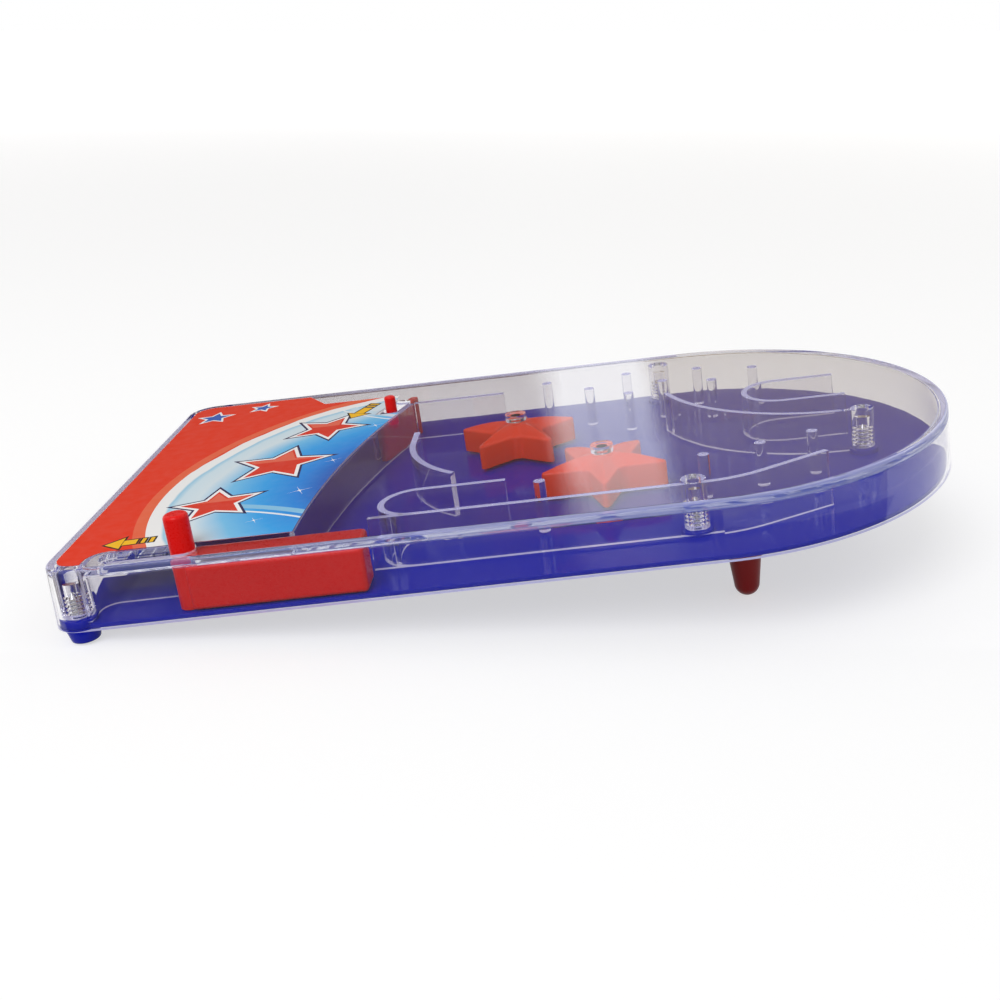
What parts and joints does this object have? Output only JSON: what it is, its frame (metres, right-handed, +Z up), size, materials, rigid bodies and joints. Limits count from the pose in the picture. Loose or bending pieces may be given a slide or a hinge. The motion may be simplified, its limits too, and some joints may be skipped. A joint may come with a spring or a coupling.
{
  "type": "hand-held pinball game",
  "caption": "Flat pinball game on two rear legs: a clear cover with moulded rails, a sprung shooter, a sliding lane gate, turning stars and a steel ball.",
  "frame": {"origin": "middle of the footprint, on the table that the feet and legs stand on", "axes": "+X along the game from the player's end to the round end, +Y across it away from the shooter, +Z up"},
  "size_m": [0.2418, 0.144, 0.0471],
  "materials": {
    "clear_plastic": "clear, polished",
    "blue_plastic": "gloss",
    "red_plastic": "gloss",
    "leg_plastic": "gloss",
    "printed_card": "glossy print",
    "spring_steel": "drawn wire",
    "ball_steel": "polished",
    "screw_steel": "zinc plated"
  },
  "bodies": {
    "case": {"clear_cover": "clear_plastic", "base_plate": "blue_plastic", "printed_card": "printed_card", "shooter_spring": "spring_steel", "cover_screw_1": "screw_steel", "cover_screw_2": "screw_steel", "cover_screw_3": "screw_steel", "cover_screw_4": "screw_steel", "cover_screw_5": "screw_steel", "rear_leg_near": "leg_plastic", "rear_leg_far": "leg_plastic"},
    "shooter": {"shooter_block": "red_plastic"},
    "gate": {"lane_gate": "red_plastic"},
    "star_1": {"star_bumper_1": "red_plastic"},
    "star_2": {"star_bumper_2": "red_plastic"},
    "ball": {"steel_ball": "ball_steel"}
  },
  "joints": [
    {"name": "shooter_slide", "type": "slide", "parent": "case", "child": "shooter", "axis": [0.9936, 0, 0.1132], "range_m": [-0.018, 0], "stiffness_N_per_m": 120, "springref_m": 0.004, "deforming": ["shooter_spring"]},
    {"name": "gate_slide", "type": "slide", "parent": "case", "child": "gate", "axis": [0.2988, 0.9537, 0.034], "range_m": [0, 0.008]},
    {"name": "star_1_turn", "type": "hinge", "parent": "case", "child": "star_1", "pos_m": [-0.00594, 0.0228, 0.02448], "axis": [-0.1132, 0, 0.9936], "continuous": true},
    {"name": "star_2_turn", "type": "hinge", "parent": "case", "child": "star_2", "pos_m": [0.02009, -0.0166, 0.02744], "axis": [-0.1132, 0, 0.9936], "continuous": true},
    {"name": "ball_roll", "type": "hinge", "parent": "case", "child": "ball", "pos_m": [0.2648, -0.05915, 0.05281], "axis": [0.1132, 0, -0.9936], "range_deg": [0, 17.6]}
  ]
}
